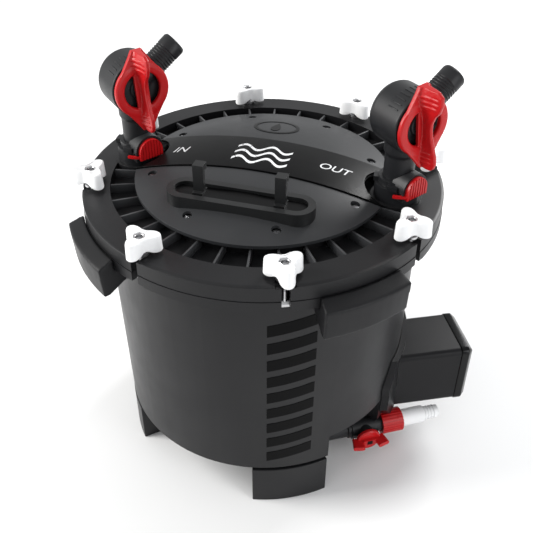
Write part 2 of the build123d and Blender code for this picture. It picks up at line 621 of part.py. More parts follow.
def valve_handle(x):
    """Ring handle with two D-shaped windows, pointed ears and a raised grip across it."""
    lean = valve_plane(x) * Rot(0, 0, EAR_LEAN[x > 0])
    outline = Circle(HANDLE_R)
    for side in (-1, 1):
        ear = Polyline((-17, side * 18), (17, side * 18), (5, side * EAR_R), (-5, side * EAR_R), close=True)
        outline += make_face(ear)
    window = Circle(WINDOW_R) - Rectangle(SPINE_W, 40)
    ring = Pos(0, 0, DRUM_FRONT + 1.3) * extrude(outline - window, HANDLE_T)
    edge = [(-EAR_R, 0), (-EAR_R, FIN_ENDS[0]), *FIN, (EAR_R, FIN_ENDS[1]), (EAR_R, 0)]
    spine = Plane.YZ * make_face(Polyline(*edge, close=True))
    grip = Pos(-FIN_T / 2, 0, DRUM_FRONT + 1.3) * extrude(spine, FIN_T)
    stem = disc(STEM_R, BALL_R - 1, DRUM_FRONT + 4)
    return lean * (ring + grip + stem - Sphere(BALL_R))


# ---- the swing bolts ----
def swing_bolt(index):
    """Shank on a round T-head that turns under the flange."""
    shank = disc(SHANK_R, PIVOT_Z, KNOB_Z + SHANK_ABOVE_KNOB_FOOT)
    head = Pos(0, 0, PIVOT_Z) * Rot(90, 0, 0) * Cylinder(HEAD_R, HEAD_LENGTH)
    return fastener_place(index) * (shank + head)


def washer(index):
    ring = disc(WASHER_R, WASHER_Z, WASHER_Z + WASHER_T) - disc(SHANK_R + GAP, 290, 300)
    return fastener_place(index) * ring


def knob(index):
    """Three-lobed hand knob with a sunk hexagonal nut."""
    grip = disc(KNOB_HUB_R, KNOB_Z, KNOB_Z + KNOB_H)
    half = [(0, 9.5), (KNOB_R - 4, 4.8), (KNOB_R - 1, 3.4), (KNOB_R, 1.5)]
    outline = Polyline(*half, *[(reach, -across) for reach, across in reversed(half)], close=True)
    lobe = Pos(0, 0, KNOB_Z) * extrude(make_face(outline), KNOB_H - 0.8)
    first = KNOB_LOBE_AZ[index] - BOLT_FIRST_AZ - 360 / FASTENERS * index
    for turn in (0, 120, 240):
        grip += Rot(0, 0, first + turn) * lobe
    grip -= disc(SHANK_R + GAP, 290, 330)
    grip -= Pos(0, 0, KNOB_Z + KNOB_H - NUT_DEPTH) * extrude(RegularPolygon(NUT_R, 6), 5)
    return fastener_place(index) * grip


# ---- the media inside ----
def basket(z_low):
    """Round media basket with a slotted floor."""
    cup = disc(BASKET_R, z_low, z_low + BASKET_H)
    cup -= disc(BASKET_R - BASKET_WALL, z_low + BASKET_WALL, z_low + BASKET_H + 1)
    for index in range(BASKET_SLOTS):
        start = 360 / BASKET_SLOTS * index
        cup -= sector(45, 120, z_low - 1, z_low + 4, start, start + 20)
    return cup


def foam(z_low):
    foot = z_low + BASKET_WALL + GAP
    return disc(BASKET_R - BASKET_WALL - 1, foot, foot + FOAM_H)


def write(node, shape):
    export_step(Pos(AXIS_X, AXIS_Y, 0) * shape, f"parts/{node}.step")


def build():
    os.makedirs("parts", exist_ok=True)
    for make in (
        canister_shell, base_feet, lift_grips, motor_housing, motor_end_cap, stator, impeller_shaft,
        impeller, rotor_magnet, volute_cover, cable_gland, drain_pipe, drain_valve_body, drain_handle,
        drain_lock_nut, drain_nozzle, lid_shell, lid_cover, cover_band, cover_screws, lid_seal, hose_clips,
    ):
        write(make.__name__, make())
    for name, x in (("inlet", -VALVE_X), ("outlet", VALVE_X)):
        for make in (valve_collar, latch_button, valve_body, valve_ball, valve_handle):
            write(f"{name}_{make.__name__}", make(x))
    for level, z_low in zip(("lower", "upper"), BASKET_Z):
        write(f"{level}_basket", basket(z_low))
        write(f"{level}_foam", foam(z_low))
    for index in range(FASTENERS):
        for make in (swing_bolt, washer, knob):
            write(f"{make.__name__}_{index + 1}", make(index))


if __name__ == "__main__":
    build()
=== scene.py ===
from math import atan2, cos, pi, radians, sin, sqrt

import bmesh
import bpy
from mathutils import Matrix, Vector


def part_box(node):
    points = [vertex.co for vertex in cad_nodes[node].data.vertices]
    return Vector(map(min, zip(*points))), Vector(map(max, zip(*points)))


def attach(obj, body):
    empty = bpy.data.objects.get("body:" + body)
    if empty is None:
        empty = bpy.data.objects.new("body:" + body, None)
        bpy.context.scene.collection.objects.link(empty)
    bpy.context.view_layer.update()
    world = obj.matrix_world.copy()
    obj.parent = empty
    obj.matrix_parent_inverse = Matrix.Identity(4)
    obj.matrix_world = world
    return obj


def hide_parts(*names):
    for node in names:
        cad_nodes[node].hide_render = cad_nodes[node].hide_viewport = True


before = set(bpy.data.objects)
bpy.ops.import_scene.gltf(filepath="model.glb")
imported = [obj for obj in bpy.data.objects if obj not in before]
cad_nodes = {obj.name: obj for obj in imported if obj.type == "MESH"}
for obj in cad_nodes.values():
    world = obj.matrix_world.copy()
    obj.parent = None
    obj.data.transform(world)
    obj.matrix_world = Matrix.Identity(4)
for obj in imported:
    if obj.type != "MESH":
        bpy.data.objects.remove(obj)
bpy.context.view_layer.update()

# ---------------------------------------------------------------------------------------------
# The studio: a pale floor that runs up to a pale room, a large soft light over the filter's
# left shoulder, a cooler one at its right, and a strip behind that draws the rims' edges.
# ---------------------------------------------------------------------------------------------
LENS_MM = 51.78
CAMERA_FROM_AXIS = Vector((0.1749, -0.5910, 0.6622))
CAMERA_TURN = (radians(52.407), 0.0, radians(16.2))
FLOOR_HALF = 6.0

seal_low, seal_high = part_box("lid_seal")
axis_x = (seal_low.x + seal_high.x) / 2
tub_axis = Vector((axis_x, 0, 0))

camera_data = bpy.data.cameras.new("studio_camera")
camera_data.lens = LENS_MM
camera = bpy.data.objects.new("studio_camera", camera_data)
camera.location = tub_axis + CAMERA_FROM_AXIS
camera.rotation_euler = CAMERA_TURN
bpy.context.collection.objects.link(camera)
bpy.context.scene.camera = camera


def soft_light(name, place, aim, size, power, colour):
    light = bpy.data.lights.new(name, "AREA")
    light.shape = "RECTANGLE"
    light.size, light.size_y = size
    light.energy = power
    light.color = colour
    holder = bpy.data.objects.new(name, light)
    holder.location = place
    holder.rotation_euler = (Vector(aim) - Vector(place)).to_track_quat("-Z", "Y").to_euler()
    bpy.context.collection.objects.link(holder)


soft_light("shoulder_light", (-1.5, -0.5, 1.0), (0, 0, 0.2), (0.7, 1.4), 34, (1, 0.99, 0.97))
soft_light("right_light", (1.4, -0.7, 0.6), (0, 0, 0.2), (0.5, 1.2), 8, (0.97, 0.98, 1))
soft_light("back_strip", (0.75, 1.5, 1.35), (0, 0, 0.25), (0.8, 0.7), 30, (1, 1, 1))
bpy.context.scene.view_settings.view_transform = "Standard"

room = bpy.data.worlds.new("pale_room")
room.use_nodes = True
room.node_tree.nodes["Background"].inputs["Color"].default_value = (0.93, 0.94, 0.95, 1)
room.node_tree.nodes["Background"].inputs["Strength"].default_value = 0.72
bpy.context.scene.world = room

floor_mesh = bpy.data.meshes.new("studio_floor")
floor_mesh.from_pydata(
    [(x * FLOOR_HALF, y * FLOOR_HALF, 0) for x, y in ((-1, -1), (1, -1), (1, 1), (-1, 1))],
    [],
    [(0, 1, 2, 3)],
)
studio_floor = bpy.data.objects.new("studio_floor", floor_mesh)
bpy.context.collection.objects.link(studio_floor)
floor_finish = bpy.data.materials.new("floor_paper")
floor_finish.use_nodes = True
floor_paper = floor_finish.node_tree.nodes["Principled BSDF"]
floor_paper.inputs["Base Color"].default_value = (0.86, 0.86, 0.86, 1)
floor_paper.inputs["Roughness"].default_value = 0.9
floor_mesh.materials.append(floor_finish)

# ---------------------------------------------------------------------------------------------
# The tub: one blow-moulded barrel in satin black plastic with a skirt at its foot and a slotted
# flange at its top. Its edges are eased as the mould leaves them.
# ---------------------------------------------------------------------------------------------
WELD = 2e-6
FLAT_ANGLE = radians(0.6)
EDGE_ANGLE = radians(28)


def moulded_skin():
    """Shader group for every moulded plastic: a fine spark-eroded grain, soft blotches of gloss,
    and a trace of dust on what faces up."""
    group = bpy.data.node_groups.new("moulded_skin", "ShaderNodeTree")
    side = group.interface
    for label, kind, value in (
        ("Colour", "NodeSocketColor", (0.02, 0.02, 0.022, 1)),
        ("Dust", "NodeSocketColor", (0.2, 0.2, 0.2, 1)),
        ("Dust Share", "NodeSocketFloat", 0.05),
        ("Gloss Low", "NodeSocketFloat", 0.3),
        ("Gloss High", "NodeSocketFloat", 0.42),
        ("Grain Scale", "NodeSocketFloat", 1800.0),
    ):
        socket = side.new_socket(name=label, in_out="INPUT", socket_type=kind)
        socket.default_value = value
    side.new_socket(name="Colour", in_out="OUTPUT", socket_type="NodeSocketColor")
    side.new_socket(name="Roughness", in_out="OUTPUT", socket_type="NodeSocketFloat")
    side.new_socket(name="Height", in_out="OUTPUT", socket_type="NodeSocketFloat")
    make, join = group.nodes.new, group.links.new
    given, result = make("NodeGroupInput"), make("NodeGroupOutput")
    place = make("ShaderNodeTexCoord")
    grain = make("ShaderNodeTexNoise")
    grain.inputs["Detail"].default_value = 3
    join(place.outputs["Object"], grain.inputs["Vector"])
    join(given.outputs["Grain Scale"], grain.inputs["Scale"])
    blotch = make("ShaderNodeTexNoise")
    blotch.inputs["Scale"].default_value = 26
    blotch.inputs["Detail"].default_value = 5
    join(place.outputs["Object"], blotch.inputs["Vector"])
    gloss = make("ShaderNodeMapRange")
    gloss.inputs["From Min"].default_value = 0.3
    gloss.inputs["From Max"].default_value = 0.7
    join(blotch.outputs["Fac"], gloss.inputs["Value"])
    join(given.outputs["Gloss Low"], gloss.inputs["To Min"])
    join(given.outputs["Gloss High"], gloss.inputs["To Max"])
    facing = make("ShaderNodeNewGeometry")
    split = make("ShaderNodeSeparateXYZ")
    join(facing.outputs["Normal"], split.inputs["Vector"])
    upward = make("ShaderNodeMath")
    upward.operation = "MULTIPLY"
    upward.use_clamp = True
    join(split.outputs["Z"], upward.inputs[0])
    join(blotch.outputs["Fac"], upward.inputs[1])
    settled = make("ShaderNodeMath")
    settled.operation = "MULTIPLY"
    join(upward.outputs[0], settled.inputs[0])
    join(given.outputs["Dust Share"], settled.inputs[1])
    tint = make("ShaderNodeMix")
    tint.data_type = "RGBA"
    join(settled.outputs[0], tint.inputs["Factor"])
    join(given.outputs["Colour"], tint.inputs["A"])
    join(given.outputs["Dust"], tint.inputs["B"])
    join(tint.outputs["Result"], result.inputs["Colour"])
    join(gloss.outputs["Result"], result.inputs["Roughness"])
    join(grain.outputs["Fac"], result.inputs["Height"])
    return group


skin_group = moulded_skin()


def moulded(name, colour, gloss, dust=0.05, grain=1800.0, relief=0.06, coat=0.0, specular=0.26):
    """A moulded plastic in one colour. Gloss is its lowest and highest roughness."""
    finish = bpy.data.materials.new(name)
    finish.use_nodes = True
    make, join = finish.node_tree.nodes.new, finish.node_tree.links.new
    shader = finish.node_tree.nodes["Principled BSDF"]
    shader.inputs["Coat Weight"].default_value = coat
    shader.inputs["Coat Roughness"].default_value = 0.12
    shader.inputs["Specular IOR Level"].default_value = specular
    skin = make("ShaderNodeGroup")
    skin.node_tree = skin_group
    skin.inputs["Colour"].default_value = (*colour, 1)
    skin.inputs["Dust Share"].default_value = dust
    skin.inputs["Gloss Low"].default_value, skin.inputs["Gloss High"].default_value = gloss
    skin.inputs["Grain Scale"].default_value = grain
    bump = make("ShaderNodeBump")
    bump.inputs["Strength"].default_value = relief
    bump.inputs["Distance"].default_value = 0.0004
    join(skin.outputs["Height"], bump.inputs["Height"])
    join(bump.outputs["Normal"], shader.inputs["Normal"])
    join(skin.outputs["Colour"], shader.inputs["Base Color"])
    join(skin.outputs["Roughness"], shader.inputs["Roughness"])
    return finish


def bare_metal(finish):
    """Turns a finish into uncoated metal."""
    finish.node_tree.nodes["Principled BSDF"].inputs["Metallic"].default_value = 1
    return finish


def dress(finish, *names):
    """Gives CAD nodes that are shown as they are their finish."""
    for name in names:
        node = cad_nodes[name]
        if not node.material_slots:
            node.data.materials.append(None)
        for place in node.material_slots:
            place.material = finish


def placed(name, mesh, finish):
    """A new piece in the scene, at the origin, with its place in its mesh."""
    mesh.name = name
    mesh.materials.clear()
    mesh.materials.append(finish)
    mesh.shade_smooth()
    mesh.set_sharp_from_angle(angle=EDGE_ANGLE)
    piece = bpy.data.objects.new(name, mesh)
    bpy.context.collection.objects.link(piece)
    return piece


def joined_up(name, node):
    """A CAD node's triangles, welded and with flat runs made one face, as a new mesh."""
    build = bmesh.new()
    build.from_mesh(cad_nodes[node].data)
    bmesh.ops.remove_doubles(build, verts=build.verts, dist=WELD)
    bmesh.ops.dissolve_limit(build, angle_limit=FLAT_ANGLE, verts=build.verts, edges=build.edges)
    build.verts.index_update()
    mesh = bpy.data.meshes.new(name)
    mesh.from_pydata(
        [tuple(v.co) for v in build.verts], [], [[v.index for v in face.verts] for face in build.faces]
    )
    build.free()
    return mesh


def eased(name, node, finish, ease=0.0007, steps=2):
    """A CAD node's shape with every sharp edge rounded a little."""
    piece = placed(name, joined_up(name, node), finish)
    rounding = piece.modifiers.new("eased_edges", "BEVEL")
    rounding.width = ease
    rounding.segments = steps
    rounding.limit_method = "ANGLE"
    rounding.angle_limit = EDGE_ANGLE
    rounding.use_clamp_overlap = True
    piece.modifiers.new("even_shading", "WEIGHTED_NORMAL")
    return piece


def settle(piece):
    """Turns a piece's live modifiers into its plain mesh."""
    depsgraph = bpy.context.evaluated_depsgraph_get()
    mesh = bpy.data.meshes.new_from_object(piece.evaluated_get(depsgraph))
    piece.modifiers.clear()
    piece.data = mesh
    return piece


def belongs(piece, body, slot, *nodes):
    """Says which body a piece rides on and which CAD nodes it stands for, and hides those nodes; its slot is
    not used.
    """
    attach(piece, body)
    if nodes:
        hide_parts(*nodes)
    return piece


barrel_black = moulded("barrel_black", (0.008, 0.008, 0.009), (0.34, 0.44), dust=0.02)
tub = eased("tub", "canister_shell", barrel_black, 0.0008)
belongs(tub, "canister", "barrel", "canister_shell")
feet = eased("tub_feet", "base_feet", barrel_black, 0.0012)
belongs(feet, "canister", "barrel", "base_feet")

# ---------------------------------------------------------------------------------------------
# The grips: four hooked shelves under the flange, moulded apart and clipped on, with soft
# round corners. The fingers go up behind each front wall.
# ---------------------------------------------------------------------------------------------
def cast(name, meshes, finish, voxel, rounds):
    """Fuses overlapping shapes into one moulding and softens its edges and where they meet."""
    build = bmesh.new()
    for mesh in meshes:
        build.from_mesh(mesh)
    whole = bpy.data.meshes.new(name)
    build.to_mesh(whole)
    build.free()
    piece = placed(name, whole, finish)
    fuse = piece.modifiers.new("fused", "REMESH")
    fuse.mode = "VOXEL"
    fuse.voxel_size = voxel
    fuse.use_smooth_shade = True
    soften = piece.modifiers.new("softened", "SMOOTH")
    soften.factor = 0.5
    soften.iterations = rounds
    settle(piece)
    piece.data.shade_smooth()
    return piece


grip_black = moulded("grip_black", (0.008, 0.008, 0.009), (0.36, 0.48), dust=0.03, specular=0.18)
grips = cast("lift_grips_soft", [joined_up("grips_rough", "lift_grips")], grip_black, 0.0011, 14)
belongs(grips, "canister", "motor", "lift_grips")

# ---------------------------------------------------------------------------------------------
# The lid: a moulded ring with a dark sunk channel, stiffened by thin radial ribs whose bright top
# edges are a painted highlight, and a broad flat rim that the knobs press on.
# ---------------------------------------------------------------------------------------------
RIB_COUNT = 32
RIB_INNER, RIB_OUTER = 0.1105, 0.1407
RIB_THICK = 0.0019
RIB_LOW, RIB_TOP = 0.2850, 0.2940

rim_grey = moulded("rim_grey", (0.009, 0.009, 0.010), (0.34, 0.46), dust=0.03)
lid = eased("lid_ring", "lid_shell", rim_grey, 0.0007)
belongs(lid, "lid", "rim", "lid_shell")


def tree_inputs(tree, rows):
    """Adds a tree's named inputs and its one output."""
    for label, kind, value in rows:
        socket = tree.interface.new_socket(name=label, in_out="INPUT", socket_type=kind)
        if value is not None:
            socket.default_value = value
    tree.interface.new_socket(name="Geometry", in_out="OUTPUT", socket_type="NodeSocketGeometry")


def set_out(tree, points, turn):
    """Ends a tree: the Piece on every point, turned, made real and given its Finish."""
    make, join = tree.nodes.new, tree.links.new
    given = next(n for n in tree.nodes if n.bl_idname == "NodeGroupInput")
    piece = make("GeometryNodeObjectInfo")
    stand = make("GeometryNodeInstanceOnPoints")
    real = make("GeometryNodeRealizeInstances")
    finish = make("GeometryNodeSetMaterial")
    euler = make("FunctionNodeEulerToRotation")
    join(given.outputs["Piece"], piece.inputs["Object"])
    join(piece.outputs["Geometry"], stand.inputs["Instance"])
    join(points, stand.inputs["Points"])
    join(turn, euler.inputs["Euler"])
    join(euler.outputs["Rotation"], stand.inputs["Rotation"])
    join(stand.outputs["Instances"], real.inputs["Geometry"])
    join(real.outputs["Geometry"], finish.inputs["Geometry"])
    join(given.outputs["Finish"], finish.inputs["Material"])
    join(finish.outputs["Geometry"], make("NodeGroupOutput").inputs["Geometry"])


def ring_tree():
    """One piece set round an upright axis, its own +X turned outwards each time."""
    tree = bpy.data.node_groups.new("ring_of_pieces", "GeometryNodeTree")
    tree_inputs(tree, (
        ("Piece", "NodeSocketObject", None),
        ("Count", "NodeSocketInt", 8),
        ("Radius", "NodeSocketFloat", 0.1),
        ("First Angle", "NodeSocketFloat", 0.0),
        ("Step Angle", "NodeSocketFloat", 0.785),
        ("Centre", "NodeSocketVector", (0, 0, 0)),
        ("Finish", "NodeSocketMaterial", None),
    ))
    make, join = tree.nodes.new, tree.links.new
    given = make("NodeGroupInput")
    points = make("GeometryNodePoints")
    join(given.outputs["Count"], points.inputs["Count"])
    angle = make("ShaderNodeMath")
    angle.operation = "MULTIPLY_ADD"
    join(make("GeometryNodeInputIndex").outputs["Index"], angle.inputs[0])
    join(given.outputs["Step Angle"], angle.inputs[1])
    join(given.outputs["First Angle"], angle.inputs[2])
    way = make("ShaderNodeCombineXYZ")
    for socket, operation in (("X", "COSINE"), ("Y", "SINE")):
        share = make("ShaderNodeMath")
        share.operation = operation
        join(angle.outputs[0], share.inputs[0])
        join(share.outputs[0], way.inputs[socket])
    place = make("ShaderNodeVectorMath")
    place.operation = "MULTIPLY_ADD"
    join(way.outputs["Vector"], place.inputs[0])
    join(given.outputs["Radius"], place.inputs[1])
    join(given.outputs["Centre"], place.inputs[2])
    join(place.outputs["Vector"], points.inputs["Position"])
    turn = make("ShaderNodeCombineXYZ")
    join(angle.outputs[0], turn.inputs["Z"])
    set_out(tree, points.outputs["Points"], turn.outputs["Vector"])
    return tree


def row_tree():
    """One piece set along a straight line, turned the same way each time."""
    tree = bpy.data.node_groups.new("row_of_pieces", "GeometryNodeTree")
    tree_inputs(tree, (
        ("Piece", "NodeSocketObject", None),
        ("Count", "NodeSocketInt", 6),
        ("Start", "NodeSocketVector", (0, 0, 0)),
        ("Step", "NodeSocketVector", (0, 0, 0.001)),
        ("Turn", "NodeSocketVector", (0, 0, 0)),
        ("Finish", "NodeSocketMaterial", None),
    ))
    make, join = tree.nodes.new, tree.links.new
    given = make("NodeGroupInput")
    points = make("GeometryNodePoints")
    join(given.outputs["Count"], points.inputs["Count"])
    place = make("ShaderNodeVectorMath")
    place.operation = "MULTIPLY_ADD"
    join(given.outputs["Step"], place.inputs[0])
    join(make("GeometryNodeInputIndex").outputs["Index"], place.inputs[1])
    join(given.outputs["Start"], place.inputs[2])
    join(place.outputs["Vector"], points.inputs["Position"])
    set_out(tree, points.outputs["Points"], given.outputs["Turn"])
    return tree


ring_of_pieces, row_of_pieces = ring_tree(), row_tree()


def grown(name, tree, mesh, finish, given):
    """Repeats a mesh by a tree and returns the result as one plain piece."""
    pattern = bpy.data.objects.new(f"{name}_pattern", mesh)
    holder = bpy.data.objects.new(f"{name}_holder", bpy.data.meshes.new(name))
    for thing in (pattern, holder):
        bpy.context.collection.objects.link(thing)
    work = holder.modifiers.new(name, "NODES")
    work.node_group = tree
    values = {"Piece": pattern, "Finish": finish, **given}
    for socket in tree.interface.items_tree:
        if socket.in_out == "INPUT":
            work[socket.identifier] = values[socket.name]
    depsgraph = bpy.context.evaluated_depsgraph_get()
    result = bpy.data.meshes.new_from_object(holder.evaluated_get(depsgraph))
    for thing in (pattern, holder):
        bpy.data.objects.remove(thing)
    return placed(name, result, finish)


def block(low, high, ease=0.0, steps=2):
    """A box between two corners with its edges rounded."""
    build = bmesh.new()
    bmesh.ops.create_cube(build, size=1)
    middle, size = (Vector(low) + Vector(high)) / 2, Vector(high) - Vector(low)
    for vert in build.verts:
        vert.co = Vector(vert.co[i] * size[i] + middle[i] for i in range(3))
    if ease:
        bmesh.ops.bevel(build, geom=build.edges[:], offset=ease, segments=steps, profile=0.5, affect="EDGES")
    mesh = bpy.data.meshes.new("block")
    build.to_mesh(mesh)
    build.free()
    return mesh


# Painted highlight: the ribs take a lighter grey than the rim and five times its dust share on what faces up,
# to paint the bright lines along their top edges.
rib_painted_highlight = moulded("rib_painted_highlight", (0.045, 0.046, 0.049), (0.24, 0.34), dust=0.15)
rib = block((0, -RIB_THICK / 2, RIB_LOW), (RIB_OUTER - RIB_INNER, RIB_THICK / 2, RIB_TOP), 0.0004)
ribs = grown("lid_ribs", ring_of_pieces, rib, rib_painted_highlight, {
    "Count": RIB_COUNT, "Radius": RIB_INNER, "First Angle": 0.0, "Step Angle": 2 * pi / RIB_COUNT,
    "Centre": tub_axis,
})
belongs(ribs, "lid", "rim")


def ring_points(radius, z, count):
    """Points of a level circle about the origin."""
    return [(radius * cos(2 * pi * i / count), radius * sin(2 * pi * i / count), z) for i in range(count)]


def lofted(rings, loop=False):
    """A closed skin over rings of equally many points: capped, or joined last to first."""
    count = len(rings[0])
    faces = []
    for level in range(len(rings) if loop else len(rings) - 1):
        low, high = level * count, (level + 1) % len(rings) * count
        faces += [(low + i, low + (i + 1) % count, high + (i + 1) % count, high + i) for i in range(count)]
    if not loop:
        last = (len(rings) - 1) * count
        faces += [tuple(reversed(range(count))), tuple(range(last, last + count))]
    mesh = bpy.data.meshes.new("lofted")
    mesh.from_pydata([point for ring in rings for point in ring], [], faces)
    return mesh


def lathed(profile, count=48, loop=False):
    """A shape turned about the upright axis from its (radius, height) outline."""
    return lofted([ring_points(radius, z, count) for radius, z in profile], loop)


# ---------------------------------------------------------------------------------------------
# The ladder: nine slanted glossy bars printed down the barrel, following its taper.
# ---------------------------------------------------------------------------------------------
BARREL_LOW, BARREL_HIGH = Vector((0.144, 0, 0.051)), Vector((0.1475, 0, 0.262))
MARK_AZ, MARK_HALF = radians(-64), radians(8.6)
MARK_LOW, MARK_PITCH, MARK_TALL, MARK_SLANT = 0.062, 0.0205, 0.0125, 0.009
MARK_COUNT, MARK_STEPS = 9, 16
PRINT_THICK, PRINT_ROOT = 0.0003, -0.0004


def barrel_r(z):
    """The barrel's radius at a height."""
    share = (z - BARREL_LOW.z) / (BARREL_HIGH.z - BARREL_LOW.z)
    return BARREL_LOW.x + (BARREL_HIGH.x - BARREL_LOW.x) * share


def curved_bar():
    """One bar, bent round the barrel at the ladder's foot."""
    rings = []
    for i in range(MARK_STEPS + 1):
        share = i / MARK_STEPS - 0.5
        azimuth = MARK_AZ + 2 * MARK_HALF * share
        low = MARK_LOW + MARK_SLANT * (share + 0.5)
        top = low + MARK_TALL
        ring = []
        for z, out in ((low, PRINT_ROOT), (top, PRINT_ROOT), (top, PRINT_THICK), (low, PRINT_THICK)):
            reach = barrel_r(z) + out
            ring.append((axis_x + reach * cos(azimuth), reach * sin(azimuth), z))
        rings.append(ring)
    return lofted(rings[::-1])


mark_black = moulded("mark_black", (0.001, 0.001, 0.0012), (0.3, 0.36),
                     dust=0.0, grain=300.0, relief=0.01, specular=0.06)
taper = MARK_PITCH * (BARREL_HIGH.x - BARREL_LOW.x) / (BARREL_HIGH.z - BARREL_LOW.z)
ladder = grown("barrel_ladder", row_of_pieces, curved_bar(), mark_black, {
    "Count": MARK_COUNT, "Start": (0, 0, 0), "Turn": (0, 0, 0),
    "Step": (taper * cos(MARK_AZ), taper * sin(MARK_AZ), MARK_PITCH),
})
belongs(ladder, "canister", "barrel")

# ---------------------------------------------------------------------------------------------
# The cover: a shallow dome in dark grey with a fine grain, held down by eight screws sunk in
# dark holes, and a glossy strip let into it from valve to valve.
# ---------------------------------------------------------------------------------------------
COVER_R, COVER_EDGE, COVER_TOP = 0.118, 0.299, 0.317
COVER_BALL = (COVER_R**2 + (COVER_TOP - COVER_EDGE) ** 2) / (2 * (COVER_TOP - COVER_EDGE))
SCREW_CIRCLE, SCREW_SUNK = 0.1015, 0.0022
FASTENER_COUNT = 8
FIRST_FASTENER = radians(22.5)
FASTENER_STEP = radians(45)
AXIS_R = 0.0002  # a turned shape's innermost radius, just off its axis

cover_grey = moulded("cover_grey", (0.026, 0.027, 0.029), (0.34, 0.46), dust=0.05, grain=1400.0, relief=0.1)
cover = eased("cover", "lid_cover", cover_grey, 0.0006)
belongs(cover, "lid", "cover", "lid_cover")
band_black = moulded("band_black", (0.002, 0.002, 0.0022), (0.26, 0.34),
                     dust=0.0, grain=300.0, relief=0.01, specular=0.12)
band = eased("cover_strip", "cover_band", band_black, 0.0005)
belongs(band, "lid", "band", "cover_band")


def dome_z(x, y, lift=0.0):
    """Height of the cover's dome at a place, measured from the tub's axis."""
    return COVER_TOP - COVER_BALL + sqrt((COVER_BALL + lift) ** 2 - x * x - y * y)


screw_steel = bare_metal(moulded("screw_steel", (0.3, 0.3, 0.31), (0.3, 0.42), dust=0.0))
SCREW_TOP = dome_z(SCREW_CIRCLE, 0) - SCREW_SUNK
CROSS_LONG, CROSS_THIN = 0.0021, 0.0004
screw = bmesh.new()
screw.from_mesh(lathed((
    (AXIS_R, SCREW_TOP - 0.0025), (0.0036, SCREW_TOP - 0.0025), (0.0036, SCREW_TOP - 0.0008),
    (0.0032, SCREW_TOP - 0.0003), (0.0020, SCREW_TOP), (AXIS_R, SCREW_TOP),
), 24))
for x, y in ((CROSS_LONG, CROSS_THIN), (CROSS_THIN, CROSS_LONG)):
    screw.from_mesh(block((-x, -y, SCREW_TOP - 0.0002), (x, y, SCREW_TOP + 0.0003), 0.0001, 1))
screw_mesh = bpy.data.meshes.new("screw")
screw.to_mesh(screw_mesh)
screw.free()
screws = grown("cover_screws_sunk", ring_of_pieces, screw_mesh, screw_steel, {
    "Count": FASTENER_COUNT, "Radius": SCREW_CIRCLE,
    "First Angle": FIRST_FASTENER, "Step Angle": FASTENER_STEP, "Centre": tub_axis,
})
belongs(screws, "lid", "steel", "cover_screws")

# Printed flow words at the strip's ends, and three plain waves between them.
PRINT_LIFT, PRINT_FULL = 0.0013, 0.00024
print_white = moulded("print_white", (0.78, 0.79, 0.8), (0.45, 0.55), dust=0.0)


def laid_on_dome(name, mesh):
    """Lays a flat print on the strip, following the dome."""
    for vert in mesh.vertices:
        vert.co.z = dome_z(vert.co.x, vert.co.y, PRINT_LIFT + vert.co.z)
        vert.co.x += axis_x
    piece = placed(name, mesh, print_white)
    belongs(piece, "lid", "band")


def word(text, x, y, size):
    """A short word as a thin mesh, reading from the front."""
    curve = bpy.data.curves.new(text, "FONT")
    curve.body = text
    curve.size = size
    curve.align_x = "CENTER"
    curve.align_y = "CENTER"
    curve.extrude = PRINT_FULL / 2
    curve.shear = 0.25
    letters = bpy.data.objects.new(text, curve)
    bpy.context.collection.objects.link(letters)
    depsgraph = bpy.context.evaluated_depsgraph_get()
    mesh = bpy.data.meshes.new_from_object(letters.evaluated_get(depsgraph))
    bpy.data.objects.remove(letters)
    mesh.transform(Matrix.Translation((x, y, 0)))
    return mesh


laid_on_dome("print_in", word("IN", -0.080, -0.002, 0.014))
laid_on_dome("print_out", word("OUT", 0.0665, -0.001, 0.0135))
# A plain drop in an oval ring, raised on the back of the cover.
BADGE_X, BADGE_Y, BADGE_R, BADGE_SQUASH = -0.005, 0.0646, 0.021, 0.8
BADGE_EDGE, BADGE_ROOT, BADGE_PROUD = 0.0016, -0.0006, 0.0004
DROP_WIDE, DROP_TALL = 0.0065, 0.011
RING_SIDES, DROP_SIDES = 64, 48
ring_mark = lofted([
    [(BADGE_X + (BADGE_R + across) * cos(a), BADGE_Y + BADGE_SQUASH * (BADGE_R + across) * sin(a), z)
     for a in (2 * pi * i / RING_SIDES for i in range(RING_SIDES))]
    for across, z in ((-BADGE_EDGE, BADGE_ROOT), (BADGE_EDGE, BADGE_ROOT),
                      (BADGE_EDGE, BADGE_PROUD), (-BADGE_EDGE, BADGE_PROUD))
], loop=True)
drop_outline = []
for i in range(DROP_SIDES):
    a = 2 * pi * i / DROP_SIDES
    narrow = DROP_WIDE * sin(a) * sin(a / 2) ** 1.5
    drop_outline.append((BADGE_X - narrow, BADGE_Y + DROP_TALL * cos(a)))
drop_mark = lofted([[(px, py, z) for px, py in drop_outline] for z in (BADGE_ROOT, BADGE_PROUD)])
for name, mark in (("cover_ring_mark", ring_mark), ("cover_drop_mark", drop_mark)):
    for vert in mark.vertices:
        vert.co.z = dome_z(vert.co.x, vert.co.y, vert.co.z)
        vert.co.x += axis_x
    belongs(placed(name, mark, band_black), "lid", "cover")

